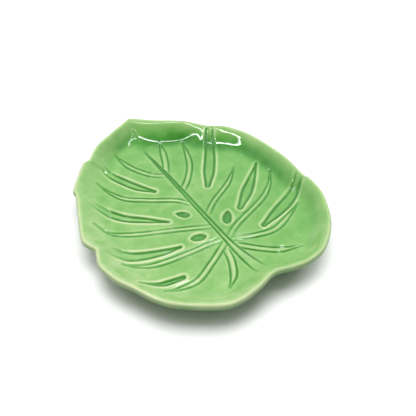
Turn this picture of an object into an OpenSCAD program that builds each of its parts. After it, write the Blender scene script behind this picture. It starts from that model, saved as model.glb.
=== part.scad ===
// Leaf plate in glazed earthenware: a shallow dish moulded as a split leaf, on a round foot ring.
// The plate stands on Z = 0, +Y runs along the midrib to the leaf's tip, and lengths are in millimetres.

/* [Leaf] */
// Length of the clay leaf, from the stalk lobes to the tip
leaf_l = 176; // [150:1:230]
// Width of the clay leaf across its lobes
leaf_w = 148; // [130:1:190]

/* [Dish] */
// Clay thickness of the floor
floor_t = 4.5; // [3:0.1:7]
// Height of the lip above the floor
rim_rise = 8.2; // [5:0.1:14]
// Width of the curved wall, from the lip's outside to the flat floor
wall_w = 13; // [10:0.5:18]
// How much higher the lip stands at the leaf's tip
tip_lift = 2.8; // [0:0.1:6]
// Width of the curved wall at the leaf's tip and right of it
tip_wall_w = 20; // [13:0.5:26]
// Clay thickness of the lip
lip_t = 4.2; // [3:0.1:6]
// Width of the rounded lip, from its outside to its crown
lip_w = 2.2; // [1.5:0.1:4]

/* [Veins] */
// Spacing of the two grooves that border a side vein
vein_w = 3.2; // [2.4:0.1:5]
// Spacing of the two grooves that border the midrib, half way down the leaf
midrib_w = 2.6; // [2:0.1:5]
// Width of one groove at the surface
groove_w = 1.4; // [0.8:0.1:2]
// Depth of the grooves beside a side vein of plain width
groove_depth = 0.9; // [0.6:0.1:1.3]
// Depth of the grooves beside the midrib
midrib_depth = 1.2; // [0.8:0.1:1.6]
// How far a vein's crown stays below the floor
crown_drop = 0.15; // [0.1:0.05:0.4]

/* [Splits and holes] */
// Width of a split at its widest
split_w = 6.6; // [4:0.2:8]
// Width of a hole at its round end
hole_w = 5.6; // [3:0.2:6.4]
// Depth of the sunk splits and holes
split_depth = 1.2; // [0.8:0.1:1.8]
// Width of the sloping side of a split
split_side = 0.7; // [0.4:0.1:1]

/* [Foot] */
// Outside diameter of the foot ring where it joins the leaf
foot_d = 90; // [70:1:100]
// Width of the ring where it joins the leaf
foot_w = 6; // [4:0.5:9]
// Width of the ring's lower end
foot_end_w = 4; // [3:0.5:6]
// Height of the ring
foot_h = 5; // [4.6:0.1:8]
// Rounding of the ring's lower edges
foot_round = 1; // [0.5:0.1:1.4]
// Distance of the ring's centre behind the leaf's centre, towards the stalk
foot_back = 8; // [0:1:12]

/* [Glaze] */
// Thickness of the glaze on a flat surface
glaze_t = 0.4; // [0.3:0.05:0.6]
// Extra glaze that pools in grooves, splits and holes
glaze_pool = 0.2; // [0.1:0.05:0.3]
// Width of the bare band wiped beside the foot ring
foot_bare = 1.5; // [0.5:0.1:3]

/* [Hidden] */

// Heights of the clay's main levels above the table
under_z = foot_h;
floor_z = under_z + floor_t;

// How far a cutter stands above the surface that it cuts
overrun = 1.5;
// Length below which two points count as one
tiny = 0.0001;
// Half the distance between the two points that give a slope
probe = 0.5;

// Step along the outline, as a share of the leaf's length
outline_step_share = 0.035;
// Steps along a vein between two of its listed points
vein_steps = 2;
// Steps up the wall, round the lip and down the outside
wall_steps = 4;
lip_steps = 4;
under_steps = 2;
// Sides of the polygons that sink the splits and holes
pocket_sides = 8;
// Facets of the foot's curves
foot_fn = 96;

// Share of the leaf's length, from its centre, at which the lip and wall start to change towards the tip
tip_start_share = 0.26;
// Share of a point's distance to the right that counts as distance to the tip, because the wide wall leans that way
wide_lean_share = 0.5;
// Power of the wall's rise: it leaves the floor level and steepens towards the lip
wall_curve = 1.5;
// Share of the lip's thickness by which the outside curve starts nearer the edge than the wall does
under_share = 0.35;

// Outline from the tip round the left side, shares of the leaf's width and length from its centre.
// The small steps in it are the notches where the splits reach the edge, and the dip is the stalk's.
outline_shares = [
    [0.040, 0.484], [0.007, 0.478], [-0.092, 0.442], [-0.177, 0.409], [-0.229, 0.375], [-0.264, 0.346],
    [-0.298, 0.338], [-0.340, 0.300], [-0.405, 0.228], [-0.411, 0.198], [-0.424, 0.166], [-0.468, 0.066],
    [-0.500, -0.015], [-0.491, -0.053], [-0.479, -0.080], [-0.490, -0.108], [-0.502, -0.150], [-0.484, -0.222],
    [-0.452, -0.276], [-0.380, -0.388], [-0.245, -0.478], [-0.163, -0.502], [-0.065, -0.494], [0.025, -0.476],
    [0.100, -0.492], [0.175, -0.500], [0.270, -0.483], [0.385, -0.408], [0.470, -0.295], [0.493, -0.205],
    [0.487, -0.168], [0.500, -0.045], [0.474, 0.125], [0.415, 0.232], [0.336, 0.286], [0.258, 0.357],
    [0.125, 0.428]
];

// Ends of the line inside the leaf that the wall's sections point to, shares of the leaf's length
spine_shares = [-0.25, 0.12];

// Midrib from the tip to the stalk, and the spacing of its grooves as shares of midrib_w
midrib_shares = [[0.007, 0.335], [0.009, 0.110], [0.005, -0.140], [0.005, -0.307], [0.027, -0.441]];
midrib_w_shares = [0.15, 0.55, 0.80, 1.10, 3.00];

// Side veins from the midrib outwards, and each one's size as a share of vein_w and of groove_depth
vein_shares = [
    [[-0.004, 0.153], [-0.054, 0.187], [-0.105, 0.268], [-0.125, 0.363]],
    [[-0.010, -0.028], [-0.050, 0.013], [-0.150, 0.070], [-0.237, 0.134], [-0.287, 0.243]],
    [[-0.012, -0.166], [-0.162, -0.106], [-0.297, -0.053], [-0.378, -0.003], [-0.412, 0.050]],
    [[-0.018, -0.235], [-0.159, -0.227], [-0.311, -0.208], [-0.412, -0.154]],
    [[-0.018, -0.258], [-0.122, -0.306], [-0.223, -0.341], [-0.345, -0.324]],
    [[-0.032, -0.285], [-0.047, -0.332], [-0.083, -0.385], [-0.132, -0.419]],
    [[0.013, 0.166], [0.044, 0.212], [0.078, 0.280], [0.100, 0.340]],
    [[0.017, 0.048], [0.074, 0.090], [0.135, 0.156], [0.176, 0.237], [0.193, 0.290]],
    [[0.022, -0.109], [0.091, -0.067], [0.210, -0.014], [0.297, 0.047]],
    [[0.024, -0.240], [0.095, -0.207], [0.267, -0.156], [0.358, -0.106], [0.419, -0.047]],
    [[0.024, -0.254], [0.111, -0.285], [0.216, -0.299], [0.385, -0.246]],
    [[0.024, -0.290], [0.088, -0.345], [0.149, -0.385], [0.233, -0.410]]
];
vein_size_shares = [1.10, 1.00, 1.00, 1.05, 1.45, 1.20, 1.25, 1.15, 1.00, 1.05, 1.10, 1.15];
// Share of a vein's length along which it keeps its width, and its size at the outer end
vein_even_share = 0.45;
vein_end_share = 0.25;

// Splits from their inner ends to the edge, and their widths there as shares of split_w
split_shares = [
    [[-0.095, 0.096], [-0.150, 0.158], [-0.203, 0.255], [-0.219, 0.307], [-0.230, 0.331]],
    [[-0.142, -0.068], [-0.214, -0.018], [-0.290, 0.038], [-0.353, 0.124], [-0.376, 0.164]],
    [[-0.175, -0.190], [-0.257, -0.175], [-0.345, -0.146], [-0.404, -0.108], [-0.438, -0.078]],
    [[-0.247, -0.304], [-0.304, -0.296], [-0.356, -0.284], [-0.404, -0.261]],
    [[0.126, 0.018], [0.179, 0.075], [0.245, 0.150], [0.310, 0.233], [0.328, 0.256]],
    [[0.164, -0.144], [0.219, -0.110], [0.306, -0.052], [0.398, 0.016]],
    [[0.178, -0.264], [0.277, -0.239], [0.355, -0.217], [0.404, -0.198], [0.438, -0.177]]
];
split_w_shares = [
    [0.35, 0.75, 0.95, 0.85, 0.70],
    [0.35, 0.70, 0.85, 0.80, 0.65],
    [0.35, 0.75, 1.00, 1.10, 1.05],
    [0.40, 0.60, 0.60, 0.45],
    [0.65, 1.10, 1.15, 0.95, 0.80],
    [0.75, 1.10, 0.90, 0.35],
    [0.40, 0.85, 1.00, 0.95, 0.85]
];

// Holes beside the midrib: the pointed end, the round end and the pointed end's width as a share of hole_w
hole_shares = [
    [[-0.089, -0.047], [-0.056, -0.076], 0.45],
    [[-0.104, -0.177], [-0.063, -0.188], 0.75],
    [[0.100, -0.139], [0.067, -0.172], 0.55]
];

// Point at t on the smooth curve from b to c, whose neighbours are a and d
function curve_point(a, b, c, d, t) =
    (2 * b + (c - a) * t + (2 * a - 5 * b + 4 * c - d) * t * t + (3 * b - a - 3 * c + d) * t * t * t) / 2;

// Smooth closed curve through a ring of points, with more steps on the longer stretches
function closed_curve(ring, step_length) =
    let (n = len(ring))
    [for (i = [0 : n - 1])
        let (b = ring[i], c = ring[(i + 1) % n], steps = max(1, round(norm(c - b) / step_length)))
        for (k = [0 : steps - 1])
            curve_point(ring[(i + n - 1) % n], b, c, ring[(i + 2) % n], k / steps)];

// Smooth open curve through a row of points or of numbers
function open_curve(row, steps) =
    let (n = len(row))
    [for (k = [0 : (n - 1) * steps])
        let (i = min(floor(k / steps), n - 2))
        curve_point(row[max(i - 1, 0)], row[i], row[i + 1], row[min(i + 2, n - 1)], k / steps - i)];

function limited(v, low, high) = min(max(v, low), high);
function cross_area(a, b) = a.x * b.y - a.y * b.x;
function column(points, i) = [for (p = points) p[i]];

// The outline is centred and fitted to the leaf's width and length, and the relief moves with it
raw_outline = closed_curve(outline_shares, outline_step_share);
outline_low = [min(column(raw_outline, 0)), min(column(raw_outline, 1))];
outline_high = [max(column(raw_outline, 0)), max(column(raw_outline, 1))];
function placed(share) = [
    leaf_w * ((share.x - outline_low.x) / (outline_high.x - outline_low.x) - 1 / 2),
    leaf_l * ((share.y - outline_low.y) / (outline_high.y - outline_low.y) - 1 / 2)
];
function all_placed(shares) = [for (s = shares) placed(s)];
outline = all_placed(raw_outline);
outline_n = len(outline);

// Nearest point of the spine, and the way from the spine to a point
function spine_foot(p) = [0, limited(p.y, spine_shares[0] * leaf_l, spine_shares[1] * leaf_l)];
function spine_way(p) =
    let (v = p - spine_foot(p))
    norm(v) < tiny ? [1, 0] : v / norm(v);

// Distance from the spine to the outline along the line through a point
function reach(p) =
    let (s = spine_foot(p), e = spine_way(p))
    max([for (i = [0 : outline_n - 1])
        let (a = outline[i] - s, side = outline[(i + 1) % outline_n] - outline[i], d = cross_area(e, side))
        abs(d) < tiny ? 0
        : let (u = cross_area(a, e) / d, t = cross_area(a, side) / d)
          u >= 0 && u <= 1 ? max(t, 0) : 0]);

// How far the tip's form has taken over where the edge is at y, from 0 on the sides to 1 at the tip
function tip_part(y) =
    let (t = limited((y / leaf_l - tip_start_share) / (1 / 2 - tip_start_share), 0, 1))
    t * t * (3 - 2 * t);
function lip_rise(y) = rim_rise + tip_lift * tip_part(y);

// Width of the wall inside a point of the edge
function wall_width(p) = wall_w + (tip_wall_w - wall_w) * tip_part(p.y + wide_lean_share * p.x);

// Height of the dish's inside above its floor, at a share of the way up the wall, and height at a point
function wall_rise(share, y) = lip_rise(y) * pow(share, wall_curve);
function dish_z(p) =
    let (
        s = spine_foot(p),
        r = reach(p),
        edge = s + r * spine_way(p),
        wall = wall_width(edge),
        d = r - norm(p - s)
    )
    floor_z + wall_rise(limited((wall - d) / (wall - lip_w), 0, 1), edge.y);

// Section through the wall inside a point of the edge, as distances from the edge and heights: up the inside,
// round the lip and down the outside. A skin grows it on all sides.
function section(p, skin) =
    let (wall = wall_width(p), under = wall - under_share * lip_t, lip_z = floor_z + lip_rise(p.y))
    concat(
        [for (k = [0 : wall_steps])
            [wall + (lip_w - wall) * k / wall_steps, floor_z + skin + wall_rise(k / wall_steps, p.y)]],
        [for (k = [1 : lip_steps - 1])
            let (a = 180 * k / lip_steps)
            [lip_w - (lip_w + skin) * sin(a), lip_z - lip_t / 2 + (lip_t / 2 + skin) * cos(a)]],
        [for (k = [under_steps : -1 : 0])
            [under + (lip_w - under) * k / under_steps,
             under_z - skin + (lip_z - lip_t - under_z) * pow(k / under_steps, wall_curve)]]
    );

// Plain dish: the section carried round the outline, closed by a flat floor and a flat underside
module dish(skin) {
    sections = [for (p = outline) section(p, skin)];
    m = len(sections[0]);
    n = outline_n;
    rings = [for (r = [0 : m - 1], i = [0 : n - 1])
        let (q = outline[i] - sections[i][r][0] * spine_way(outline[i]))
        [q.x, q.y, sections[i][r][1]]];
    floor_centre = m * n;
    under_centre = floor_centre + 1;
    sides = [for (r = [0 : m - 2], i = [0 : n - 1])
        let (a = r * n + i, b = r * n + (i + 1) % n)
        each [[a, b, b + n], [a, b + n, a + n]]];
    floor_fan = [for (i = [0 : n - 1]) [floor_centre, (i + 1) % n, i]];
    under_fan = [for (i = [0 : n - 1]) [under_centre, (m - 1) * n + i, (m - 1) * n + (i + 1) % n]];
    polyhedron(
        concat(rings, [[0, 0, floor_z + skin], [0, 0, under_z - skin]]),
        concat(sides, floor_fan, under_fan)
    );
}

// Cutter that leaves a vein: two grooves with a crown between them. Path points lie on the dish, and each has
// the half spacing of the grooves and a size factor that fades the grooves out.
module vein_cutter(path, halves, fades, full_depth, skin) {
    n = len(path);
    rings = [for (i = [0 : n - 1])
        let (
            ahead = path[min(i + 1, n - 1)] - path[max(i - 1, 0)],
            right = [ahead.y, -ahead.x] / norm(ahead),
            half = halves[i],
            groove = groove_w / 2 * fades[i],
            edge = half + groove,
            depth = (full_depth - (skin > 0 ? glaze_pool : 0)) * fades[i],
            crown = max(crown_drop, depth * (1 - half / groove)),
            profile = [
                [-edge, overrun], [-edge, 0], [-half, -depth], [0, -crown], [half, -depth], [edge, 0], [edge, overrun]
            ]
        )
        for (c = profile)
            let (q = path[i] + c[0] * right)
            [q.x, q.y, dish_z(q) + skin + c[1]]];
    // Beyond each end the grooves rise to a point above the surface
    points = [for (pair = [[path[0], path[1]], [path[n - 1], path[n - 2]]])
        let (q = pair[0] + groove_w * (pair[0] - pair[1]) / norm(pair[0] - pair[1]))
        [q.x, q.y, dish_z(q) + skin + overrun]];
    corners = len(rings) / n;
    last = (n - 1) * corners;
    start_point = n * corners;
    caps = [for (j = [0 : corners - 1])
        let (k = (j + 1) % corners)
        each [[start_point, k, j], [start_point + 1, last + j, last + k]]];
    sides = [for (i = [0 : n - 2], j = [0 : corners - 1])
        let (a = i * corners + j, b = i * corners + (j + 1) % corners)
        each [[a + corners, a, b], [a + corners, b, b + corners]]];
    polyhedron(concat(rings, points), concat(caps, sides));
}

// Flat disc with sloping sides, sunk in the dish at a point and tilted with it
module pocket_disc(p, width, skin) {
    depth = split_depth - (skin > 0 ? glaze_pool : 0);
    slope_x = (dish_z(p + [probe, 0]) - dish_z(p - [probe, 0])) / (2 * probe);
    slope_y = (dish_z(p + [0, probe]) - dish_z(p - [0, probe])) / (2 * probe);
    side = min(split_side, width / 4);
    multmatrix([
        [1, 0, 0, p.x],
        [0, 1, 0, p.y],
        [slope_x, slope_y, 1, dish_z(p) + skin - depth],
        [0, 0, 0, 1]
    ])
        cylinder(
            h = depth + overrun,
            r1 = width / 2 - side,
            r2 = width / 2 + side * overrun / depth,
            $fn = pocket_sides
        );
}

// Sunk pocket along a row of points, each with its width
module pocket(path, widths, skin) {
    for (i = [0 : len(path) - 2])
        hull() {
            pocket_disc(path[i], widths[i], skin);
            pocket_disc(path[i + 1], widths[i + 1], skin);
        }
}

module midrib(skin) {
    path = open_curve(all_placed(midrib_shares), vein_steps);
    halves = open_curve(midrib_w_shares, vein_steps) * midrib_w / 2;
    vein_cutter(path, halves, [for (h = halves) 1], midrib_depth, skin);
}

module side_vein(i, skin) {
    path = open_curve(all_placed(vein_shares[i]), vein_steps);
    last = len(path) - 1;
    fades = [for (k = [0 : last])
        1 - (1 - vein_end_share) * limited((k / last - vein_even_share) / (1 - vein_even_share), 0, 1)];
    vein_cutter(path, fades * vein_size_shares[i] * vein_w / 2, fades, groove_depth * vein_size_shares[i], skin);
}

module split(i, skin) {
    pocket(all_placed(split_shares[i]), split_w_shares[i] * split_w, skin);
}

module hole(places, skin) {
    pocket([placed(places[0]), placed(places[1])], [places[2] * hole_w, hole_w], skin);
}

// The whole leaf with its relief, grown by a skin
module leaf_form(skin) {
    difference() {
        dish(skin);
        midrib(skin);
        for (i = [0 : len(vein_shares) - 1])
            side_vein(i, skin);
        for (i = [0 : len(split_shares) - 1])
            split(i, skin);
        for (places = hole_shares)
            hole(places, skin);
    }
}

module at_foot(z) {
    translate([0, -foot_back, z])
        children();
}

module clay_body() {
    color("BurlyWood")
        leaf_form(0);
}

// Ring of clay under the leaf: it narrows towards its rounded, bare lower end
module foot_ring() {
    middle = foot_d / 2 - foot_w / 2;
    color("Tan")
        at_foot(0)
            rotate_extrude($fn = foot_fn)
                translate([middle, 0]) {
                    polygon([
                        [-foot_w / 2, foot_h], [-foot_end_w / 2, foot_round],
                        [foot_end_w / 2, foot_round], [foot_w / 2, foot_h]
                    ]);
                    translate([foot_round - foot_end_w / 2, 0])
                        square([foot_end_w - 2 * foot_round, foot_round]);
                    for (side = [-1, 1])
                        translate([side * (foot_end_w / 2 - foot_round), foot_round])
                            circle(foot_round, $fn = foot_fn);
                }
}

// Glass coat over the whole leaf, wiped back round the foot
module glaze_coat() {
    color("YellowGreen")
        difference() {
            leaf_form(glaze_t);
            leaf_form(0);
            at_foot(under_z - glaze_t - overrun)
                cylinder(h = glaze_t + 2 * overrun, r = foot_d / 2 + foot_bare, $fn = foot_fn);
        }
}

// Patch of glass on the underside, inside the foot
module foot_well_glaze() {
    color("YellowGreen")
        at_foot(under_z - glaze_t)
            cylinder(h = glaze_t, r = foot_d / 2 - foot_w - foot_bare, $fn = foot_fn);
}

clay_body();
foot_ring();
glaze_coat();
foot_well_glaze();
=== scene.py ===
"""Leaf plate in green glazed earthenware: its looks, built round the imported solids. Lengths are in metres."""

import math

import bpy
import numpy as np
from mathutils import Matrix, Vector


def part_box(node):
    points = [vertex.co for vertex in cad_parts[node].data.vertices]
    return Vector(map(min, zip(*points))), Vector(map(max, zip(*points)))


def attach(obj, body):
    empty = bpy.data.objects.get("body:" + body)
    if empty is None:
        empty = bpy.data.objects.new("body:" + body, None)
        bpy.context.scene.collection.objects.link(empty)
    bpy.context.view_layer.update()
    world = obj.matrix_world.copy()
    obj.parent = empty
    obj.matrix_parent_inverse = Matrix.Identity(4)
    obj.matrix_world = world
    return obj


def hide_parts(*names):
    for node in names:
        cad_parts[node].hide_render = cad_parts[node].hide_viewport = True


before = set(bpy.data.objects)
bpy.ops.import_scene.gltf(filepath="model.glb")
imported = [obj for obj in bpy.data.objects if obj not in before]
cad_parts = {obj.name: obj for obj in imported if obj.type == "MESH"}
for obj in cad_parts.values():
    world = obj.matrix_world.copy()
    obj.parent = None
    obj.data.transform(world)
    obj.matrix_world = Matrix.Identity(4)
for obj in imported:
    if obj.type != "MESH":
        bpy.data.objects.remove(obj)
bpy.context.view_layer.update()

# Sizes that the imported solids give
clay_low, clay_high = (np.array(corner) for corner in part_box("clay_body"))
foot_low, foot_high = (np.array(corner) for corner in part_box("foot_ring"))
well_low, well_high = (np.array(corner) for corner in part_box("foot_well_glaze"))
LEAF_SIZE = (clay_high - clay_low)[:2]
LEAF_CENTRE = (clay_high + clay_low)[:2] / 2
UNDER_Z = clay_low[2]
GLAZE_T = UNDER_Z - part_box("glaze_coat")[0].z
FOOT_CENTRE = (foot_high + foot_low)[:2] / 2
FOOT_R = (foot_high - foot_low)[0] / 2
WELL_R = (well_high - well_low)[0] / 2

# Sizes of the dish
FLOOR_T = 0.0045  # clay under the floor
WALL_W = 0.0128  # plain width of the wall, from the lip's outside to the level floor
WALL_CURVE = 1.5  # power of the wall's rise from its foot to the lip
WALL_SOFT_SHARE = 0.07  # softness of the wall's foot, as a share of the wall's run
WALL_START_SHARE = 0.6  # share of the floor's radius inside which no wall can reach
CREASE_SOFT_SHARE = 0.009  # rounding of creases inside the wall, as a share of a turn
TIP_LIFT = 0.0028  # how much higher the lip stands at the leaf's tip
TIP_START_SHARE = 0.26  # share of the leaf's length, from its centre, where that lift starts
LIP_T = 0.0042  # thickness of the rolled lip
LIP_W = 0.0018  # from the lip's outside to its crown
LIP_FLAT = 0.0012  # from the crown to the top of the wall's curve
LIP_SOFT = 0.0012  # rounding between the wall's curve and the level of the lip
LIP_BLEND_RINGS = 2  # rings of the wall that are smoothed together with the lip
LIP_BLEND_PASSES = 2  # how often they are smoothed
OUTSIDE_CURVE = 1.5  # power of the outside's rise from the underside to the lip
OUTSIDE_SOFT_SHARE = 0.028  # how far the wall's width is evened out for the outside, as a share of a turn
UNDER_SHARE = 0.35  # share of the lip's thickness by which the outside starts nearer the edge than the wall
FOOT_W = 0.006  # width of the foot ring where it joins the leaf
GLAZE_EDGE_W = 0.0006  # width of the rounded edge where the glaze ends
BARE_W = FOOT_R - FOOT_W - WELL_R  # bare band wiped beside the foot ring
FLOOR_Z = UNDER_Z + FLOOR_T
RIM_RISE = clay_high[2] - FLOOR_Z - TIP_LIFT

# Sizes of the pressed relief
VEIN_W = 0.0032  # spacing of the two grooves of a side vein
VEIN_SWELL = 0.00012  # height of the crown between them
MIDRIB_W = 0.0026  # plain spacing of the midrib's grooves
MIDRIB_DEPTH = 0.0010
GROOVE_DEPTH = 0.0008
GROOVE_SOFT = 0.00055  # half width of a groove
SPLIT_W = 0.0066
SPLIT_DEPTH = 0.0012
SPLIT_SOFT = 0.00050  # half width of the step at a pocket's edge
HOLE_W = 0.0058
BEAD_H = 0.00027  # height of the bead beside a pocket's edge
BEAD_W = 0.0011
RELIEF_REACH = 0.007  # how far a line's relief can reach beyond its path
RELIEF_FADE_W = 0.003  # width below the lip over which the relief fades out

# How a pocket's floor rises from its edge: by a share of the depth, between two shares of the bead's width
SPLIT_FLOOR_SHARE = 0.88
HOLE_FLOOR_SHARE = 0.32
FLOOR_RISE_SHARES = (0.3, 1.6)
HOLE_BEAD_SHARE = 0.75  # height of a hole's bead
HOLE_POWERS = (1.25, 0.5)  # powers of a hole's width: pointed end, less that end's own width, and round end

# Outline from the tip round the left side, as shares of the leaf's width and length from its centre
OUTLINE_SHARES = [
    (0.040, 0.484), (0.007, 0.478), (-0.092, 0.442), (-0.177, 0.409), (-0.229, 0.375),
    (-0.264, 0.346), (-0.298, 0.338), (-0.340, 0.300), (-0.405, 0.228), (-0.411, 0.198),
    (-0.424, 0.166), (-0.468, 0.066), (-0.500, -0.015), (-0.491, -0.053), (-0.479, -0.080),
    (-0.490, -0.108), (-0.502, -0.150), (-0.484, -0.222), (-0.452, -0.276), (-0.380, -0.388),
    (-0.245, -0.478), (-0.163, -0.502), (-0.065, -0.494), (0.025, -0.476), (0.100, -0.492),
    (0.175, -0.500), (0.270, -0.483), (0.385, -0.408), (0.470, -0.295), (0.493, -0.205),
    (0.487, -0.168), (0.500, -0.045), (0.474, 0.125), (0.415, 0.232), (0.336, 0.286),
    (0.258, 0.357), (0.125, 0.428),
]

# Width of the wall inside each point of the outline
WALL_W_SHARES = [
    1.62, 1.12, 0.95, 1.00, 1.10,
    1.25, 1.40, 1.45, 1.50, 1.50,
    1.50, 1.50, 1.50, 1.50, 1.45,
    1.40, 1.40, 1.35, 1.30, 1.25,
    1.20, 1.20, 1.15, 1.10, 1.00,
    1.00, 1.00, 1.00, 1.00, 1.00,
    1.00, 1.02, 1.14, 1.48, 1.50,
    1.25, 1.68,
]

# Ends of the spine, the line that the wall's sections point away from, as shares of the leaf's length
SPINE_SHARES = (-0.25, 0.12)

# Midrib from the tip to the stalk, the spacing of its grooves, and how deep the band between them lies
MIDRIB_SHARES = [(0.007, 0.335), (0.009, 0.110), (0.005, -0.140), (0.005, -0.307), (0.027, -0.441)]
MIDRIB_W_SHARES = [0.15, 0.75, 0.85, 1.10, 3.00]
MIDRIB_BAND_SHARES = [0.90, 0.75, 0.35, 0.10, 0.00]
MIDRIB_TIP_SHARES = (-0.02, 0.10)  # stretch over which it deepens from the tip
MIDRIB_STALK_SHARES = (0.88, 1)  # stretch over which it fades at the stalk

# Side veins from the midrib outwards, and their size
VEIN_SHARES = [
    [(-0.004, 0.153), (-0.054, 0.187), (-0.105, 0.268), (-0.125, 0.363)],
    [(-0.010, -0.028), (-0.050, 0.013), (-0.150, 0.070), (-0.237, 0.134), (-0.287, 0.243)],
    [(-0.012, -0.166), (-0.162, -0.106), (-0.297, -0.053), (-0.378, -0.003), (-0.412, 0.050)],
    [(-0.018, -0.235), (-0.159, -0.227), (-0.311, -0.208), (-0.412, -0.154)],
    [(-0.018, -0.258), (-0.122, -0.306), (-0.223, -0.341), (-0.345, -0.324)],
    [(-0.032, -0.285), (-0.047, -0.332), (-0.083, -0.385), (-0.132, -0.419)],
    [(0.013, 0.166), (0.044, 0.212), (0.078, 0.280), (0.100, 0.340)],
    [(0.017, 0.048), (0.074, 0.090), (0.135, 0.156), (0.176, 0.237), (0.193, 0.290)],
    [(0.022, -0.109), (0.091, -0.067), (0.210, -0.014), (0.297, 0.047)],
    [(0.024, -0.240), (0.095, -0.207), (0.267, -0.156), (0.358, -0.106), (0.419, -0.047)],
    [(0.024, -0.254), (0.111, -0.285), (0.216, -0.299), (0.385, -0.246)],
    [(0.024, -0.290), (0.088, -0.345), (0.149, -0.385), (0.233, -0.410)],
]
VEIN_SIZE_SHARES = [1.10, 1.00, 1.00, 1.05, 1.10, 1.20, 1.25, 1.15, 1.00, 1.05, 1.10, 1.15]
VEIN_CLOSE_SHARES = (0.60, 1)  # stretch over which the two grooves draw together
VEIN_END_SHARE = 0.20  # their spacing at the outer end
VEIN_ROOT_SHARES = (0, 0.15)  # stretch over which the grooves deepen beside the midrib
VEIN_ROOT_DEPTH_SHARE = 0.5  # their depth at the midrib
VEIN_TIP_SHARES = (0.85, 1)  # stretch over which they get shallow at the outer end
VEIN_TIP_DEPTH_SHARE = 0.45  # their depth there

# Splits from their inner ends to the edge, their widths, and how much of their depth is left at the edge
SPLIT_SHARES = [
    [(-0.095, 0.096), (-0.150, 0.158), (-0.203, 0.255), (-0.219, 0.307), (-0.230, 0.331)],
    [(-0.142, -0.068), (-0.214, -0.018), (-0.290, 0.038), (-0.353, 0.124), (-0.376, 0.164)],
    [(-0.175, -0.190), (-0.257, -0.175), (-0.345, -0.146), (-0.404, -0.108), (-0.438, -0.078)],
    [(-0.247, -0.304), (-0.304, -0.296), (-0.356, -0.284), (-0.404, -0.261)],
    [(0.121, 0.013), (0.176, 0.072), (0.245, 0.150), (0.310, 0.233), (0.328, 0.256)],
    [(0.158, -0.148), (0.216, -0.112), (0.306, -0.052), (0.398, 0.016)],
    [(0.178, -0.264), (0.277, -0.239), (0.355, -0.217), (0.418, -0.190), (0.480, -0.155)],
]
SPLIT_W_SHARES = [
    [0.32, 0.80, 0.85, 0.75, 0.65],
    [0.18, 0.60, 0.80, 0.80, 0.65],
    [0.22, 0.66, 0.90, 1.00, 1.00],
    [0.34, 0.48, 0.44, 0.22],
    [0.50, 1.08, 1.12, 1.00, 0.88],
    [0.52, 1.04, 0.70, 0.12],
    [0.42, 0.95, 1.15, 0.95, 0.80],
]
SPLIT_END_SHARES = [0.00, 0.00, 0.00, 0.45, 0.70, 0.90, 0.35]
SPLIT_FADE_SHARES = (0.55, 1)  # stretch over which a split gets shallow

# Holes beside the midrib: pointed end, round end, the pointed end's width, and the size
HOLE_SHARES = [
    ((-0.086, -0.050), (-0.059, -0.073), 0.45, 0.76),
    ((-0.105, -0.182), (-0.072, -0.191), 0.75, 0.86),
    ((0.096, -0.144), (0.066, -0.175), 0.55, 0.92),
]

# Depth of the glaze against its plain depth: what the relief's hollows hold is measured from the level round
# them, which is the relief blurred over two spreads, each counted by its share
LEVEL_BLURS = [(0.40, 0.0013), (0.25, 0.0035)]
LIP_PALE = 0.00030  # how much thinner the glaze is where it is thinnest on the lip
LIP_TURN_SHARES = (0, 0.10, 0.22, 0.34, 0.5, 1)  # places round the lip, from inside to outside
LIP_PALE_SHARES = (0.75, 1.0, 0.9, 0.4, 0.15, 0.1)  # thinness there, the last also on the whole outside
LIP_PALE_W = 0.0006  # how far the lip's thinness reaches down the wall

# The right wall holds more glaze at its foot and less at its top, and these also carry painted shade at the
# foot and painted light at the top: pairs are for the left and the right
PAINTED_SHADE_LEAN = (0.90, 0.40, 0.0)  # painted light fall-off: how the colour deepens per metre towards the right and the tip, which also gives the side
SIDE_LEANS = (-0.01, 0.06)
WALL_PALE_SHARES = (0.30, 0.60)
PALE_START_SHARES = (0.05, 0.50)  # share of the wall's run where the glaze starts to thin
PALE_END_SHARES = (0.60, 0.95)  # and where it is thinnest

# The dark band at the right wall's foot, partly pooled glaze and partly painted shade, which is deeper near the
# tip
POOL_SHADE_DEPTH = 0.00034
POOL_SHADE_SHARE = 0.28  # share of the wall's run where it is deepest
POOL_SHADE_W_SHARE = 0.32
POOL_SHADE_START_Y = (-0.045, 0.005)
POOL_SHADE_TIP_SHARE = 0.45
POOL_SHADE_TIP_Y = (0.02, 0.06)

# Fineness of the surfaces: cells across the floor, rings of each stretch, and steps of the curves
LEAF_CELLS = 228
WALL_RINGS = 24
LIP_RINGS = 12
OUTSIDE_RINGS = 8
UNDER_RINGS = 3
EDGE_RINGS = 3
WELL_RINGS = 8
WELL_EDGE_RINGS = 5
WELL_SIDES = 96
CURVE_STEPS = 16
RASTER_STEP = 0.0004
POINTS_AT_ONCE = 2000


# Plain curves and blends

def smooth_curve(points, steps, closed=False):
    """Catmull-Rom curve: from b to c, with neighbours a and d, the cubic whose end slopes are (c - a)/2 and
    (d - b)/2."""
    knots = np.asarray(points, float).reshape(len(points), -1)
    if closed:
        around = np.vstack([knots[-1:], knots, knots[:2]])
    else:
        around = np.vstack([knots[:1], knots, knots[-1:]])
    a, b, c, d = (around[k:len(around) - 3 + k, None, :] for k in range(4))
    t = (np.arange(steps) / steps)[None, :, None]
    cubic = (2 * b + (c - a) * t + (2 * a - 5 * b + 4 * c - d) * t**2 + (3 * b - a - 3 * c + d) * t**3) / 2
    curve = cubic.reshape(-1, knots.shape[1])
    return curve if closed else np.vstack([curve, knots[-1:]])


def evenly_spaced(ring, count):
    """Points at equal steps round a closed ring: places interpolated on its running length."""
    closed = np.vstack([ring, ring[:1]])
    run = np.concatenate([[0], np.cumsum(np.linalg.norm(np.diff(closed[:, :2], axis=0), axis=1))])
    at = np.linspace(0, run[-1], count, endpoint=False)
    return np.column_stack([np.interp(at, run, column) for column in closed.T])


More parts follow.
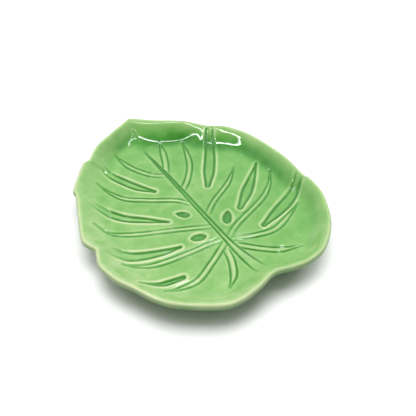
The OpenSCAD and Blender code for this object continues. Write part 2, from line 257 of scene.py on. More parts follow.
def ease(x, low, high):
    """Smooth step: 0 below low, 1 above high, and t*t*(3 - 2t) between."""
    t = np.clip((x - low) / (high - low), 0, 1)
    return t * t * (3 - 2 * t)


def between(pair, share):
    """Straight blend from the first of a pair to the second."""
    return pair[0] + (pair[1] - pair[0]) * share


def bell(x):
    """Bell curve: the exponential of -x*x."""
    return np.exp(-(x**2))


def soft_min(a, b, soft):
    """Lower of two heights with a rounded meeting: -soft times the log of the summed exponentials."""
    return -soft * np.logaddexp(-a / soft, -b / soft)


def blurred_ring(rows, spread):
    """Rows of values round a ring, averaged along it over a bell, whose spread is a share of a turn: each
    wave of the row is damped by the bell's own spectrum."""
    waves = np.arange(rows.shape[1] // 2 + 1)
    damping = np.exp(-2 * (math.pi * spread * waves) ** 2)
    return np.fft.irfft(np.fft.rfft(rows, axis=1) * damping, n=rows.shape[1], axis=1)


# The leaf's plan

raw_outline = smooth_curve(OUTLINE_SHARES, CURVE_STEPS, closed=True)
raw_low, raw_high = raw_outline.min(0), raw_outline.max(0)


def placed(shares):
    """Shares of the leaf's width and length as places: the outline's box is fitted to the clay's box."""
    return LEAF_CENTRE + LEAF_SIZE * ((np.asarray(shares, float) - raw_low) / (raw_high - raw_low) - 0.5)


def spine_way(points):
    """Unit vectors to points from the nearest place on the spine, a line along the middle of the leaf."""
    spine = np.array(SPINE_SHARES) * LEAF_SIZE[1]
    nearest = np.column_stack([np.zeros(len(points)), np.clip(points[:, 1], *spine)])
    way = points - nearest
    return way / np.linalg.norm(way, axis=1, keepdims=True)


# The pressed relief

def path_places(points, path):
    """Nearest place on a path: share of its length, distance to it, and how far a point lies beyond the
    ends."""
    step = np.diff(path, axis=0)
    length = np.linalg.norm(step, axis=1)
    way = step / length[:, None]
    offset = points[:, None, :] - path[None, :-1, :]
    at = np.clip((offset * way).sum(2), 0, length)
    gap = np.linalg.norm(offset - at[..., None] * way, axis=2)
    best = gap.argmin(1)
    rows = np.arange(len(points))
    run = np.concatenate([[0], np.cumsum(length)])
    share = (run[best] + at[rows, best]) / run[-1]
    before = np.where(share <= 0, -((points - path[0]) @ way[0]), 0)
    after = np.where(share >= 1, (points - path[-1]) @ way[-1], 0)
    return share, gap[rows, best], np.maximum(before, after)


def table_along(share, values):
    """A row of values as a smooth curve over the share of a path's length."""
    curve = smooth_curve(values, CURVE_STEPS)[:, 0]
    return np.interp(share, np.linspace(0, 1, len(curve)), curve)


def groove_pair(gap, half, depth):
    """Two rounded grooves, half the spacing to each side: depth times a bell of the distance to a groove."""
    return depth * bell((gap - half) / GROOVE_SOFT)


def midrib_form(points, path):
    """Groove pair whose spacing grows towards the stalk, with a sunk band between them near the tip, which
    gives way to a low crown, a bell across the spacing."""
    share, gap, beyond = path_places(points, path)
    half = MIDRIB_W / 2 * table_along(share, MIDRIB_W_SHARES)
    band_share = table_along(share, MIDRIB_BAND_SHARES)
    band = MIDRIB_DEPTH * band_share * (1 - ease(gap, half - GROOVE_SOFT, half + GROOVE_SOFT))
    cut = np.maximum(band, groove_pair(gap, half, MIDRIB_DEPTH))
    swell = VEIN_SWELL * (1 - band_share) * bell(gap / np.maximum(half, VEIN_W / 4))
    tip = ease(share, *MIDRIB_TIP_SHARES)
    stalk = 1 - ease(share, *MIDRIB_STALK_SHARES)
    ends = bell(beyond / GROOVE_SOFT) * tip * stalk
    return cut * ends, swell * ends


def vein_form(points, path, size):
    """Groove pair of even spacing that closes at the outer end, with a low crown between, a bell across the
    spacing. Both are shallower at the two ends."""
    share, gap, beyond = path_places(points, path)
    half = VEIN_W / 2 * size * between((1, VEIN_END_SHARE), ease(share, *VEIN_CLOSE_SHARES))
    root = between((VEIN_ROOT_DEPTH_SHARE, 1), ease(share, *VEIN_ROOT_SHARES))
    tip = between((1, VEIN_TIP_DEPTH_SHARE), ease(share, *VEIN_TIP_SHARES))
    ends = bell(beyond / GROOVE_SOFT) * root * tip
    return groove_pair(gap, half, GROOVE_DEPTH) * ends, VEIN_SWELL * bell(gap / half) * ends


def sunk_pocket(out, fade, floor_share):
    """Pocket with a beaded edge, from the distance outside its outline: a smooth step down, deepest along its
    edge, from where its floor rises by a share of the depth. The bead is a bell outside the edge."""
    sunk = 0.5 - 0.5 * np.tanh(out / SPLIT_SOFT)
    start, end = (share * BEAD_W for share in FLOOR_RISE_SHARES)
    bottom = 1 - floor_share * ease(-out, start, end)
    return SPLIT_DEPTH * sunk * bottom * fade, BEAD_H * bell((out - BEAD_W) / BEAD_W) * fade


def split_form(points, path, width_shares, end_share):
    """Pocket along a path with widths from a table, which fades out as it climbs to the edge."""
    share, gap, _ = path_places(points, path)
    half = SPLIT_W / 2 * table_along(share, width_shares)
    fade = between((1, end_share), ease(share, *SPLIT_FADE_SHARES))
    return sunk_pocket(gap - half, fade, SPLIT_FLOOR_SHARE)


def hole_form(points, path, point_share, size):
    """Egg-shaped pocket: its half width is the root of the way to the round end times a power of the way to
    the other end, a plain root on an oval and a straight line on a drop."""
    share, gap, _ = path_places(points, path)
    power = HOLE_POWERS[0] - point_share
    round_power = HOLE_POWERS[1]
    peak = power / (power + round_power)
    half = HOLE_W / 2 * size * (share / peak) ** power * ((1 - share) / (1 - peak)) ** round_power
    cut, bead = sunk_pocket(gap - half, 1, HOLE_FLOOR_SHARE)
    return cut, HOLE_BEAD_SHARE * bead


def relief_forms():
    """Every pressed line: its path, the function that gives its cut and swell, and that function's sizes."""
    def curve(shares):
        """Smooth curve through shares of the leaf's width and length."""
        return smooth_curve(placed(shares), CURVE_STEPS)

    forms = [(curve(MIDRIB_SHARES), midrib_form, ())]
    forms += [(curve(s), vein_form, (size,)) for s, size in zip(VEIN_SHARES, VEIN_SIZE_SHARES)]
    splits = zip(SPLIT_SHARES, SPLIT_W_SHARES, SPLIT_END_SHARES)
    forms += [(curve(s), split_form, (widths, end)) for s, widths, end in splits]
    for pointed, blunt, width, size in HOLE_SHARES:
        start, end = placed([pointed, blunt])
        way = (end - start) / np.linalg.norm(end - start) * HOLE_W / 2 * size
        forms.append((np.linspace(start - way * width, end + way, CURVE_STEPS), hole_form, (width, size)))
    return forms


def relief(points):
    """Height of the relief over the plain dish: the highest swell less the deepest cut at each point."""
    cut = np.zeros(len(points))
    swell = np.zeros(len(points))
    for path, form, sizes in relief_forms():
        low, high = path.min(0) - RELIEF_REACH, path.max(0) + RELIEF_REACH
        near = np.flatnonzero(np.all((points > low) & (points < high), axis=1))
        own_cut, own_swell = form(points[near], path, *sizes)
        cut[near] = np.maximum(cut[near], own_cut)
        swell[near] = np.maximum(swell[near], own_swell)
    return swell * (1 - cut / (SPLIT_DEPTH + cut)) - cut


RASTER_HALF = LEAF_SIZE / 2 + RELIEF_REACH
RASTER_COUNTS = np.ceil(2 * RASTER_HALF / RASTER_STEP).astype(int)


def relief_raster():
    """Relief on an even grid over the leaf's box, with a margin."""
    axes = [np.arange(count) * RASTER_STEP - half for count, half in zip(RASTER_COUNTS, RASTER_HALF)]
    x, y = np.meshgrid(*axes, indexing="ij")
    return relief(np.column_stack([x.ravel(), y.ravel()])).reshape(x.shape)


def blurred_relief(raster, points, spread):
    """Relief averaged over a bell of the given spread: the waves of its raster are damped by the bell's own
    spectrum, and the result is read at points by straight blends between four cells."""
    wave_x = np.fft.fftfreq(RASTER_COUNTS[0], RASTER_STEP)[:, None]
    wave_y = np.fft.rfftfreq(RASTER_COUNTS[1], RASTER_STEP)[None, :]
    damping = np.exp(-2 * (math.pi * spread) ** 2 * (wave_x**2 + wave_y**2))
    smooth = np.fft.irfft2(np.fft.rfft2(raster) * damping, s=raster.shape)
    at = np.clip((points + RASTER_HALF) / RASTER_STEP, 0, RASTER_COUNTS - 2)
    cell = np.floor(at).astype(int)
    i, j = cell.T
    across, along = (at - cell).T
    near = between((smooth[i, j], smooth[i, j + 1]), along)
    far = between((smooth[i + 1, j], smooth[i + 1, j + 1]), along)
    return between((near, far), across)


pressed_raster = relief_raster()


# The leaf's surface

def leaf_rim():
    """Even ring round the leaf: places on the edge, the wall's width, the way out from the spine, and the
    lip's height over the floor, which eases up towards the tip."""
    widths = WALL_W * smooth_curve(WALL_W_SHARES, CURVE_STEPS, closed=True)
    rim = evenly_spaced(np.column_stack([placed(raw_outline), widths]), 4 * LEAF_CELLS)
    edge, wall = rim[:, :2], rim[:, 2]
    rise = RIM_RISE + TIP_LIFT * ease(edge[:, 1] / LEAF_SIZE[1], TIP_START_SHARE, 0.5)
    return edge, wall, spine_way(edge), rise


def wall_height(points, edge, wall, rise):
    """Height of the inside over the floor, and the share of the wall's run. Each point of the edge raises a
    hill round it, a power of the share of the run from the wall's foot, softened there. The highest hill
    counts, rounded into the level of the lip."""
    run = wall - LIP_W - LIP_FLAT
    heights = np.empty(len(points))
    shares = np.empty(len(points))
    for part in np.array_split(np.arange(len(points)), max(1, len(points) // POINTS_AT_ONCE)):
        gap = np.hypot(*(points[part, None, k] - edge[None, :, k] for k in range(2)))
        share = (wall - gap) / run
        hill = rise * (WALL_SOFT_SHARE * np.logaddexp(0, share / WALL_SOFT_SHARE)) ** WALL_CURVE
        best = hill.argmax(1)
        rows = np.arange(len(part))
        heights[part] = soft_min(hill[rows, best], rise[best], LIP_SOFT)
        shares[part] = share[rows, best]
    return heights, shares


def leaf_sections(in_inset, in_rise, wall, rise, skin):
    """Wall, lip and outside as rings of inset from the edge and height: the inside, a half ellipse round the
    lip and a power curve down the outside, smoothed where they meet. A skin grows it on all sides."""
    in_z = FLOOR_Z + skin + in_rise
    turn = np.linspace(0, math.pi, LIP_RINGS + 1)[1:, None]
    lip_inset = LIP_W - (LIP_W + skin) * np.sin(turn) + np.zeros_like(rise)
    lip_z = FLOOR_Z + rise - LIP_T / 2 + (LIP_T / 2 + skin) * np.cos(turn)
    down = np.linspace(1, 0, OUTSIDE_RINGS + 1)[1:, None]
    under = blurred_ring(wall[None], OUTSIDE_SOFT_SHARE)[0] - UNDER_SHARE * LIP_T
    out_inset = under + (LIP_W - under) * down
    out_z = UNDER_Z - skin + (FLOOR_Z + rise - LIP_T - UNDER_Z) * down**OUTSIDE_CURVE
    inset = np.vstack([in_inset, lip_inset, out_inset])
    z = np.vstack([in_z, lip_z, out_z])
    blended = slice(WALL_RINGS - LIP_BLEND_RINGS, -1)
    for _ in range(LIP_BLEND_PASSES):
        for rings in (inset, z):
            mean = (rings[:-2] + 2 * rings[1:-1] + rings[2:]) / 4
            rings[1:-1][blended] = mean[blended]
    return inset, z


def disc_grid(cells):
    """Square grid laid on a disc: each square ring becomes a circle. Gives radius and share of a turn."""
    line = np.linspace(-1, 1, cells + 1)
    a, b = np.meshgrid(line, line, indexing="ij")
    sideways = np.abs(a) > np.abs(b)
    ring = np.where(sideways, a, b)
    safe = np.where(ring == 0, 1, ring)
    eighths = np.where(sideways, b / safe, 2 - a / safe) + np.where(ring < 0, 4, 0)
    return np.abs(ring).ravel(), (eighths.ravel() / 8) % 1


def grid_border(index):
    """Border of a square grid's indices, counter-clockwise from an eighth of a turn before zero."""
    return np.concatenate([index[-1, :-1], index[:0:-1, -1], index[0, :0:-1], index[:-1, 0]])


def ring_value(values, turn):
    """Straight blend of values on an even ring, which starts an eighth of a turn before zero, read at shares
    of a turn."""
    count = len(values)
    at = ((turn + 1 / 8) % 1) * count
    low = np.floor(at).astype(int) % count
    part = (at - np.floor(at))[:, None]
    return (1 - part) * values[low] + part * values[(low + 1) % count]


def under_rings(outside, skin, under_r):
    """Rings from the outside's last ring straight in to a circle round the foot, and up round the glaze's
    edge by a quarter of an ellipse."""
    way = outside - FOOT_CENTRE
    way /= np.linalg.norm(way, axis=1, keepdims=True)
    circle = FOOT_CENTRE + under_r * way
    run = np.linspace(0, 1, UNDER_RINGS + 1)[1:, None, None]
    flat_plan = outside + run * (circle - outside)
    flat_z = np.full(flat_plan.shape[:2], UNDER_Z - skin)
    bend = np.linspace(0, math.pi / 2, EDGE_RINGS + 1)[1:, None, None]
    bend_plan = circle - GLAZE_EDGE_W * np.sin(bend) * way
    bend_z = UNDER_Z - skin + (skin + GLAZE_T) * (1 - np.cos(bend[..., 0])) + np.zeros(len(way))
    return np.vstack([flat_plan, bend_plan]), np.vstack([flat_z, bend_z])


def leaf_faces(ring_count):
    """Quads of the floor's grid and between neighbouring rings, and triangles that close the last ring."""
    corner = np.arange((LEAF_CELLS + 1) ** 2).reshape(LEAF_CELLS + 1, LEAF_CELLS + 1)
    floor = np.stack([corner[:-1, :-1], corner[1:, :-1], corner[1:, 1:], corner[:-1, 1:]], axis=-1)
    border = grid_border(corner)
    outer = corner.size + np.arange(ring_count * len(border)).reshape(ring_count, -1)
    loops = np.vstack([border, outer])
    ahead = np.roll(loops, -1, axis=1)
    rings = np.stack([loops[:-1], loops[1:], ahead[1:], ahead[:-1]], axis=-1)
    centre = np.full(len(border), loops.max() + 1)
    fan = np.column_stack([loops[-1], centre, ahead[-1]])
    return floor.reshape(-1, 4).tolist() + rings.reshape(-1, 4).tolist() + fan.tolist()


def inside_glaze_and_shade(inside, height, calm, wall_share):
    """Depth of the glaze on the inside: the relief's hollows below the blurred level round them, plus the pool,
    a bell across the wall's foot that is partly painted shade, less the thinning up the wall that is partly
    painted light."""
    level = sum(share * blurred_relief(pressed_raster, inside, spread) for share, spread in LEVEL_BLURS)
    side = ease(inside @ np.array(PAINTED_SHADE_LEAN[:2]), *SIDE_LEANS)
    # pooled glaze and painted shade: a dark band along the right wall's foot, darkest near the tip
    along = ease(inside[:, 1], *POOL_SHADE_START_Y) + POOL_SHADE_TIP_SHARE * ease(inside[:, 1], *POOL_SHADE_TIP_Y)
    pool_and_shade = POOL_SHADE_DEPTH * side * along * bell((wall_share - POOL_SHADE_SHARE) / POOL_SHADE_W_SHARE)
    # partly painted light: the walls turn paler towards the top, from lower down on the left and more strongly
    # on the right
    start, end = between(PALE_START_SHARES, side), between(PALE_END_SHARES, side)
    thinning_and_light = LIP_PALE * between(WALL_PALE_SHARES, side) * ease(wall_share, start, end)
    return (level - height) * calm + pool_and_shade - thinning_and_light


def rim_thinning(inset):
    """How much the glaze thins on the rings of the sections: it dies away from the lip down the wall, follows
    a table round the lip, and is even on the outside."""
    below = np.maximum(inset[:WALL_RINGS] - LIP_W, 0)
    wall = (LIP_PALE_SHARES[0] - WALL_PALE_SHARES[0]) * np.exp(-below / LIP_PALE_W)
    turn = np.linspace(0, 1, LIP_RINGS + 1)[1:, None]
    lip = np.interp(turn, LIP_TURN_SHARES, LIP_PALE_SHARES) + np.zeros((LIP_RINGS, inset.shape[1]))
    outside = np.full((OUTSIDE_RINGS, inset.shape[1]), LIP_PALE_SHARES[-1])
    return LIP_PALE * np.vstack([wall, lip, outside])


def leaf_surface(skin, under_r):
    """Closed leaf: a floor grid, the sections carried round the outline, and an underside that runs in to a
    circle round the foot. Gives points, faces and glaze depths, which also carry painted shade and painted
    light. A skin grows it on all sides."""
    edge, wall, way, rise = leaf_rim()
    up = np.linspace(0, 1, WALL_RINGS + 1)[1:, None]
    in_inset = wall + (LIP_W - wall) * up
    in_plan = edge[None] - in_inset[..., None] * way[None]
    in_rise, in_share = wall_height(in_plan.reshape(-1, 2), edge, wall, rise)
    in_rise = blurred_ring(in_rise.reshape(in_inset.shape), CREASE_SOFT_SHARE)
    inset, z = leaf_sections(in_inset, in_rise, wall, rise, skin)
    ring_plan = edge[None] - inset[..., None] * way[None]

    floor_edge = edge - wall[:, None] * way
    centre = floor_edge.mean(0)
    radius, turn = disc_grid(LEAF_CELLS)
    floor_plan = centre + radius[:, None] * (ring_value(floor_edge, turn) - centre)
    floor_rise = np.zeros(len(floor_plan))
    floor_share = np.full(len(floor_plan), -1.0)
    outer = radius > WALL_START_SHARE
    floor_rise[outer], floor_share[outer] = wall_height(floor_plan[outer], edge, wall, rise)

    inside = np.vstack([floor_plan, ring_plan[:WALL_RINGS].reshape(-1, 2)])
    height = relief(inside)
    calm = np.ones(len(inside))
    calm[len(floor_plan):] = ease(inset[:WALL_RINGS], LIP_W, LIP_W + RELIEF_FADE_W).ravel()
    floor_height, wall_relief = np.split(height * calm, [len(floor_plan)])
    top = np.column_stack([floor_plan, FLOOR_Z + skin + floor_rise + floor_height])
    z[:WALL_RINGS] += wall_relief.reshape(WALL_RINGS, -1)

    under_plan, under_z = under_rings(ring_plan[-1], skin, under_r)
    rings = np.dstack([np.vstack([ring_plan, under_plan]), np.vstack([z, under_z])[..., None]])
    cap = np.append(FOOT_CENTRE, under_z[-1, 0])
    points = np.vstack([top, rings.reshape(-1, 3), cap])

    depth = np.zeros(len(points))
    # these glaze depths also carry painted shade at the wall's foot and painted light up the walls
    depth[:len(inside)] = inside_glaze_and_shade(inside, height, calm, np.append(floor_share, in_share))
    depth[len(top):len(top) + inset.size] -= rim_thinning(inset).ravel()
    return points, leaf_faces(len(rings)), depth


def well_surface():
    """Disc of glass inside the foot: flat below, its edge rounded by a quarter turn, closed by a flat top."""
    turn = np.linspace(0, 2 * math.pi, WELL_SIDES, endpoint=False)
    bend = np.linspace(0, math.pi / 2, WELL_EDGE_RINGS + 1)[1:]
    flat = np.linspace(0, WELL_R - GLAZE_EDGE_W, WELL_RINGS + 1)[1:]
    radius = np.concatenate([flat, WELL_R - GLAZE_EDGE_W * (1 - np.sin(bend))])
    height = np.concatenate([np.zeros(WELL_RINGS), GLAZE_T * (1 - np.cos(bend))]) + UNDER_Z - GLAZE_T
    x = FOOT_CENTRE[0] + radius[:, None] * np.cos(turn)
    y = FOOT_CENTRE[1] + radius[:, None] * np.sin(turn)
    shell = np.dstack([x, y, np.repeat(height[:, None], WELL_SIDES, axis=1)])
    ends = [[*FOOT_CENTRE, UNDER_Z - GLAZE_T], [*FOOT_CENTRE, UNDER_Z]]
    points = np.vstack([shell.reshape(-1, 3), ends])

    loops = np.arange(len(radius) * WELL_SIDES).reshape(len(radius), WELL_SIDES)
    ahead = np.roll(loops, -1, axis=1)
    quads = np.stack([loops[:-1], ahead[:-1], ahead[1:], loops[1:]], axis=-1).reshape(-1, 4)
    low, high = (np.full(WELL_SIDES, len(points) - k) for k in (2, 1))
    low_fan = np.column_stack([low, ahead[0], loops[0]])
    high_fan = np.column_stack([high, loops[-1], ahead[-1]])
    return points, quads.tolist() + low_fan.tolist() + high_fan.tolist()


# Materials

class Value:
    """One output socket of a shader. Arithmetic on values adds Math nodes, and node() adds any other node."""

    def __init__(self, tree, socket):
        self.tree = tree
        self.socket = socket

    def node(self, kind, settings=(), inputs=(), output=0):
        """Adds a node: settings first, then the values or links of its sockets. Gives the chosen output."""
        made = self.tree.nodes.new(kind)
        for name, setting in dict(settings).items():
            if name == "stops":
                ramp = made.color_ramp.elements
                for k, (place, colour) in enumerate(setting):
                    stop = ramp[k] if k < 2 else ramp.new(place)
                    stop.position = place
                    stop.color = colour
            else:
                setattr(made, name, setting)
        for name, given in dict(inputs).items():
            if isinstance(given, Value):
                self.tree.links.new(given.socket, made.inputs[name])
            else:
                made.inputs[name].default_value = given
        return Value(self.tree, made.outputs[output])

    def reckon(self, operation, a, b):
        """Math node on two values or numbers."""
        return self.node("ShaderNodeMath", {"operation": operation}, {0: a, 1: b})

    def __add__(self, other):
        return self.reckon("ADD", self, other)

    def __radd__(self, other):
        return self.reckon("ADD", other, self)

    def __sub__(self, other):
        return self.reckon("SUBTRACT", self, other)

    def __rsub__(self, other):
        return self.reckon("SUBTRACT", other, self)

    def __mul__(self, other):
        return self.reckon("MULTIPLY", self, other)

    def __rmul__(self, other):
        return self.reckon("MULTIPLY", other, self)

    def measure(self, operation, other):
        """Number that a Vector Math node works out from this vector and another."""
        return self.node("ShaderNodeVectorMath", {"operation": operation}, {0: self, 1: other}, "Value")

    def step(self, low, high, blend="SMOOTHSTEP"):
        """0 below low, 1 above high, and a smooth or straight step between."""
        sockets = {"Value": self, "From Min": low, "From Max": high}
        return self.node("ShaderNodeMapRange", {"interpolation_type": blend}, sockets)

    def noise(self, scale, detail):
        """Noise at this place."""
        return self.node("ShaderNodeTexNoise", (), {"Vector": self, "Scale": scale, "Detail": detail})

    def mixed(self, factor, a, b, blend="MIX"):
        """Two colours mixed by a factor. A Mix node's colours are its inputs 6 and 7 and its output 2."""
        settings = {"data_type": "RGBA", "blend_type": blend}
        return self.node("ShaderNodeMix", settings, {0: factor, 6: a, 7: b}, output=2)

    def bump(self, strength, distance):
        """Normal that is tilted by this value as a height."""
        sockets = {"Strength": strength, "Distance": distance, "Height": self}
        return self.node("ShaderNodeBump", (), sockets)

    def feeds(self, shader, socket):
        """Links this value to a shader's socket."""
        self.tree.links.new(self.socket, shader.inputs[socket])


def new_material(name):
    """Empty node material: gives the material, its Principled shader and a value to start from."""
    material = bpy.data.materials.new(name)
    material.use_nodes = True
    shader = material.node_tree.nodes["Principled BSDF"]
    return material, shader, Value(material.node_tree, None)


GLAZE_STOPS = [
    (0.00, (0.66, 0.79, 0.42, 1)),
    (0.25, (0.32, 0.60, 0.19, 1)),
    (0.40, (0.203, 0.505, 0.114, 1)),
    (0.70, (0.090, 0.36, 0.055, 1)),
    (1.00, (0.050, 0.26, 0.030, 1)),
]
GLAZE_DEPTHS = (-0.00035, 0.00055)  # depths at the first and last of these colours
GLAZE_ROUGHNESS = 0.06
GLAZE_IOR = 1.52
MOTTLE_SCALE = 110
MOTTLE_SHARES = (0.05, 0.95)  # strength of the mottle on the thinnest and on the deepest glaze
DRIFT_SCALE = 22
DRIFT_SHARE = 0.20
RIPPLE_SCALE = 120
RIPPLE_STRENGTH = 0.12
RIPPLE_H = 0.0002

CLAY_TINTS = [(0.74, 0.64, 0.50, 1), (0.85, 0.78, 0.66, 1)]
SPECK_STOPS = [(0.28, (0.72, 0.66, 0.58, 1)), (0.40, (1, 1, 1, 1))]
CLOUD_SCALE = 60
GRAIN_SCALE = 1400
GRAIN_STRENGTH = 0.3
GRAIN_H = 0.0001
CLAY_ROUGHNESS = (0.72, 0.92)


def glaze_material():
    """Clear green glass over pale clay: pale where it breaks thin over edges, deep where it pools, faintly
    mottled, and rippled like poured glass. Its colour also holds painted light and shade: it darkens towards
    the right and the tip, and the walls' glaze depths carry painted shade and light."""
    material, shader, start = new_material("green_glaze")
    place = start.node("ShaderNodeTexCoord", output="Object")
    depth = start.node("ShaderNodeAttribute", {"attribute_name": "glaze_depth_and_shade"}, output="Fac")
    low, high = GLAZE_DEPTHS
    share = (depth - low) * (1 / (high - low))
    mottle = (place.noise(MOTTLE_SCALE, 3) - 0.5) * between(MOTTLE_SHARES, share)
    drift = (place.noise(DRIFT_SCALE, 2) - 0.5) * DRIFT_SHARE
    # painted light fall-off: the colour darkens towards the right and the tip
    share = share + mottle + drift + place.measure("DOT_PRODUCT", PAINTED_SHADE_LEAN)
    colour = start.node("ShaderNodeValToRGB", {"stops": GLAZE_STOPS}, {"Fac": share})
    colour.feeds(shader, "Base Color")
    shader.inputs["Roughness"].default_value = GLAZE_ROUGHNESS
    shader.inputs["IOR"].default_value = GLAZE_IOR
    place.noise(RIPPLE_SCALE, 1).bump(RIPPLE_STRENGTH, RIPPLE_H).feeds(shader, "Normal")
    return material


def clay_material():
    """Bare fired clay: cream in two tints, finely speckled and matt."""
    material, shader, start = new_material("bare_clay")
    place = start.node("ShaderNodeTexCoord", output="Object")
    cloud = place.noise(CLOUD_SCALE, 4)
    grain = place.noise(GRAIN_SCALE, 2)
    tint = start.mixed(cloud, *CLAY_TINTS)
    specks = start.node("ShaderNodeValToRGB", {"stops": SPECK_STOPS}, {"Fac": grain})
    start.mixed(1.0, tint, specks, "MULTIPLY").feeds(shader, "Base Color")
    between(CLAY_ROUGHNESS, cloud).feeds(shader, "Roughness")
    grain.bump(GRAIN_STRENGTH, GRAIN_H).feeds(shader, "Normal")
    return material


# Pieces

def make_piece(name, points, faces, material, depth=None):
    """Smooth mesh object at the origin, with its place in its mesh."""
    mesh = bpy.data.meshes.new(name)
    mesh.from_pydata(points.tolist(), [], faces)
    mesh.polygons.foreach_set("use_smooth", np.ones(len(mesh.polygons), bool))
    if depth is not None:
        attribute = mesh.attributes.new("glaze_depth_and_shade", "FLOAT", "POINT")
        attribute.data.foreach_set("value", depth.astype(np.float32))
    mesh.materials.append(material)
    piece = bpy.data.objects.new(name, mesh)
    bpy.context.scene.collection.objects.link(piece)
    return piece


def dress(piece, node):
    """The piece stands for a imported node, on the one body that there is."""
    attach(piece, "root")
    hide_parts(node)


glaze = glaze_material()
clay = clay_material()

points, faces, depth = leaf_surface(GLAZE_T, FOOT_R + BARE_W)
leaf_glaze = make_piece("leaf_glaze", points, faces, glaze, depth)
dress(leaf_glaze, "glaze_coat")

points, faces, _ = leaf_surface(0, FOOT_R - FOOT_W / 2)
leaf_clay = make_piece("leaf_clay", points, faces, clay)
dress(leaf_clay, "clay_body")

points, faces = well_surface()
well_glaze = make_piece("well_glaze", points, faces, glaze, np.zeros(len(points)))
dress(well_glaze, "foot_well_glaze")

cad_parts["foot_ring"].data.materials.clear()
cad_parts["foot_ring"].data.materials.append(clay)


# Stage, camera and light

VIEW_AZIMUTH = math.radians(-34.1)
VIEW_ELEVATION = math.radians(44)
VIEW_ANGLE = math.radians(42)
VIEW_DISTANCE = 0.3435
VIEW_TARGET = np.array([0.00629, -0.01405, FLOOR_Z + GLAZE_T])
ahead_way = np.array([-math.sin(VIEW_AZIMUTH), math.cos(VIEW_AZIMUTH), 0])
right_way = np.array([math.cos(VIEW_AZIMUTH), math.sin(VIEW_AZIMUTH), 0])
up_way = np.array([0, 0, 1])

# The table: its colour seen directly and in soft light, and the white glow round the plate
TABLE_SIZE = 6.0
TABLE_ROUGHNESS = 0.9
TABLE_SEEN = (0.92, 0.92, 0.92, 1)
TABLE_BOUNCE = (0.50, 0.50, 0.50, 1)
GLOW_CENTRE = (-0.005, -0.026, 0)
GLOW_NEAR = (0.058, 0.074)
GLOW_FAR = (0.3, 1.2)
GLOW_SHARES = (0.26, 0.74)  # its strength near the plate, and what the far table adds to that

# The tent's soft light, and the dark opening in it that gloss shows
TENT_BRIGHTNESS = 0.48
OPENING_WAY = up_way - 0.55 * ahead_way
OPENING_CORE = math.radians(30)
OPENING_REACH = math.radians(50)
OPENING_DARK_SHARE = 0.9

# The broad lamp overhead, and the thin tubes whose line shows in the glaze of the far wall
KEY_PLACE = 0.32 * ahead_way + 0.03 * right_way + 1.5 * up_way
KEY_SIZE = (1.2, 1.2)
KEY_BRIGHTNESS = 4.7
TUBE_CORNERS = [(-0.22, -0.15), (-0.22, 0.00), (0.13, 0.14), (0.13, -0.12)]
TUBE_HEIGHT = 0.45
TUBE_W = 0.014
TUBE_BRIGHTNESS = 32


def seen_directly(start):
    """1 on the rays of the camera and on those that gloss or glass sends on, and 0 on those of soft light."""
    names = ["Is Camera Ray", "Is Glossy Ray", "Is Transmission Ray"]
    camera, gloss, glass = (start.node("ShaderNodeLightPath", output=name) for name in names)
    return camera + gloss + glass


def make_table():
    """Wide table top. Seen directly it is white, with a faint glow from a circle round the foot outwards,
    which grows to full white far off. In the soft light on the plate it counts as grey."""
    mesh = bpy.data.meshes.new("table")
    half = TABLE_SIZE / 2
    square = [(-half, -half, 0), (half, -half, 0), (half, half, 0), (-half, half, 0)]
    mesh.from_pydata(square, [], [(0, 1, 2, 3)])
    material, shader, start = new_material("table_white")
    shader.inputs["Roughness"].default_value = TABLE_ROUGHNESS
    shader.inputs["Specular IOR Level"].default_value = 0.0
    shader.inputs["Emission Strength"].default_value = 1.0
    gap = start.node("ShaderNodeTexCoord", output="Object").measure("DISTANCE", GLOW_CENTRE)
    near, far = GLOW_SHARES
    # painted light: outside a circle under the plate the glow lightens the plate's cast shadow, so only its
    # core stays dark
    glow = near * gap.step(*GLOW_NEAR) + far * gap.step(*GLOW_FAR)
    seen = seen_directly(start)
    start.mixed(seen, TABLE_BOUNCE, TABLE_SEEN).feeds(shader, "Base Color")
    (seen * glow).feeds(shader, "Emission Color")
    mesh.materials.append(material)
    table = bpy.data.objects.new("table", mesh)
    bpy.context.scene.collection.objects.link(table)


def aim(thing, place, target, along):
    """Puts a lamp or camera at a place, with its -Z axis towards a target and its X axis as near as may be to
    the way along."""
    back = (place - target) / np.linalg.norm(place - target)
    side = along - (along @ back) * back
    side /= np.linalg.norm(side)
    matrix = np.eye(4)
    matrix[:3, :] = np.column_stack([side, np.cross(back, side), back, place])
    thing.matrix_world = Matrix(matrix.tolist())


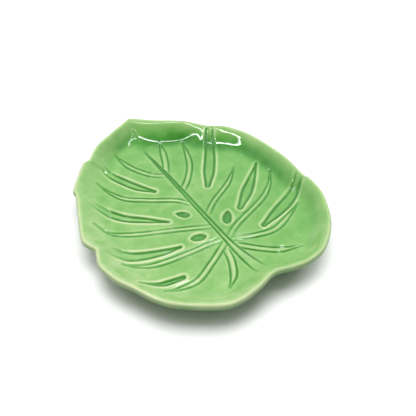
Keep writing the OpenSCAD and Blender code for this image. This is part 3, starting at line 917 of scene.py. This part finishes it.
def make_camera():
    """Camera at the photographed angle, with the plate's place in the picture."""
    data = bpy.data.cameras.new("camera")
    data.sensor_fit = "HORIZONTAL"
    data.angle = VIEW_ANGLE
    camera = bpy.data.objects.new("camera", data)
    bpy.context.scene.collection.objects.link(camera)
    back = -ahead_way * math.cos(VIEW_ELEVATION) + up_way * math.sin(VIEW_ELEVATION)
    aim(camera, VIEW_TARGET + VIEW_DISTANCE * back, VIEW_TARGET, right_way)
    bpy.context.scene.camera = camera


def make_lamp(name, place, along, size, brightness):
    """Rectangular lamp that faces the plate. Its power is its brightness times pi times its area."""
    data = bpy.data.lights.new(name, "AREA")
    data.shape = "RECTANGLE"
    data.size, data.size_y = size
    data.energy = brightness * math.pi * size[0] * size[1]
    lamp = bpy.data.objects.new(name, data)
    bpy.context.scene.collection.objects.link(lamp)
    aim(lamp, place, np.zeros(3), along)
    return lamp


def make_world():
    """Tent whose soft light is brightest overhead and ends at the horizon. Seen directly it is white, with a
    dark opening above the front."""
    world = bpy.data.worlds.new("tent")
    bpy.context.scene.world = world
    world.use_nodes = True
    shader = world.node_tree.nodes["Background"]
    start = Value(world.node_tree, None)
    way = start.node("ShaderNodeTexCoord", output="Generated")
    opening_way = tuple(OPENING_WAY / np.linalg.norm(OPENING_WAY))
    opening = way.measure("DOT_PRODUCT", opening_way).step(math.cos(OPENING_REACH), math.cos(OPENING_CORE))
    overhead = way.measure("DOT_PRODUCT", tuple(up_way)).step(0, 1, "LINEAR")
    seen = seen_directly(start)
    strength = seen * (1 - OPENING_DARK_SHARE * opening) + (1 - seen) * (TENT_BRIGHTNESS * overhead)
    strength.feeds(shader, "Strength")
    shader.inputs["Color"].default_value = (1, 1, 1, 1)


make_table()
make_camera()
make_world()
key = make_lamp("key", KEY_PLACE, right_way, KEY_SIZE, KEY_BRIGHTNESS)
key.visible_glossy = False
corners = [right * right_way + ahead * ahead_way + TUBE_HEIGHT * up_way for right, ahead in TUBE_CORNERS]
for start, end in zip(corners, corners[1:]):
    tube_size = (np.linalg.norm(end - start), TUBE_W)
    tube = make_lamp("tube", (start + end) / 2, end - start, tube_size, TUBE_BRIGHTNESS)
    tube.visible_diffuse = False

bpy.context.scene.view_settings.view_transform = "Standard"
